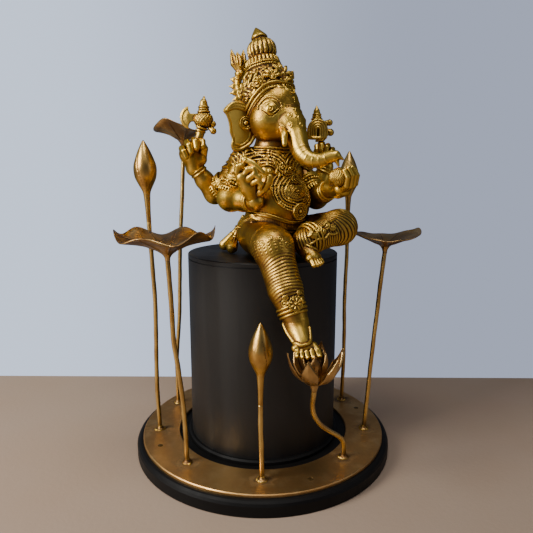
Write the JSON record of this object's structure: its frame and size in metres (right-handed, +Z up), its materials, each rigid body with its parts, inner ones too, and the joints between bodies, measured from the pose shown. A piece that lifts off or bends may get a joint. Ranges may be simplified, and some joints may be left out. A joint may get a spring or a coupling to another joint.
{
  "type": "ganesha idol",
  "caption": "Four-armed elephant-headed deity in antique brass, seated on a round black pedestal with one foot on a lotus, ringed by lotus buds and leaves on tall stems.",
  "frame": {"origin": "centre of the wooden base's underside, on the surface the idol stands on", "axes": "+Z up; -Y is the front, towards the person looking at it; +X is that person's right"},
  "size_m": [0.3928, 0.3798, 0.5673],
  "materials": {
    "black_wood": "satin black lacquer on turned wood",
    "antique_brass": "antique brass, dark brown in the recesses and rubbed bright on the high places",
    "bright_brass": "brushed and waxed brass",
    "leaf_brass": "satin brown-gold brass",
    "plate_brass": "satin brass plate, stained round the brazed joints",
    "zinc_steel": "zinc plated"
  },
  "bodies": {
    "stand": {"base_disc": "black_wood", "pedestal_foot": "black_wood", "pedestal_drum": "black_wood", "pedestal_top": "black_wood", "pedestal_bolts": "zinc_steel", "ring_plate": "plate_brass", "plate_screws": "bright_brass", "braze_beads": "bright_brass", "left_bud_stem": "bright_brass", "right_bud_stem": "bright_brass", "front_bud_stem": "bright_brass", "left_leaf_stem": "bright_brass", "right_leaf_stem": "bright_brass", "back_leaf_stem": "bright_brass", "lotus_stem": "bright_brass", "left_bud": "bright_brass", "right_bud": "bright_brass", "front_bud": "bright_brass", "left_leaf": "leaf_brass", "right_leaf": "leaf_brass", "back_leaf": "leaf_brass", "lotus_outer_petals": "leaf_brass", "lotus_inner_petals": "leaf_brass", "lotus_seed_pod": "leaf_brass"},
    "figure": {"torso": "antique_brass", "hips": "antique_brass", "right_leg": "antique_brass", "left_leg": "antique_brass", "right_foot": "antique_brass", "left_foot": "antique_brass", "anklets": "antique_brass", "head": "antique_brass", "trunk": "antique_brass", "tusks": "antique_brass", "right_ear": "antique_brass", "left_ear": "antique_brass", "earrings": "antique_brass", "crown": "antique_brass", "crown_finial": "antique_brass", "crown_plume": "antique_brass", "right_front_arm": "antique_brass", "right_front_hand": "antique_brass", "right_rear_arm": "antique_brass", "right_rear_hand": "antique_brass", "left_front_arm": "antique_brass", "left_front_hand": "antique_brass", "left_rear_arm": "antique_brass", "left_rear_hand": "antique_brass", "battle_axe": "antique_brass", "broken_tusk": "antique_brass", "modak": "antique_brass", "noose": "antique_brass", "armlets": "antique_brass", "bangles": "antique_brass", "collar": "antique_brass", "chest_medallion": "antique_brass", "waist_belt": "antique_brass", "hip_tassels": "antique_brass", "locating_pegs": "bright_brass"}
  },
  "joints": [
    {"name": "figure_lift", "type": "slide", "parent": "stand", "child": "figure", "axis": [0, 0, 1], "range_m": [0, 0.3]}
  ]
}
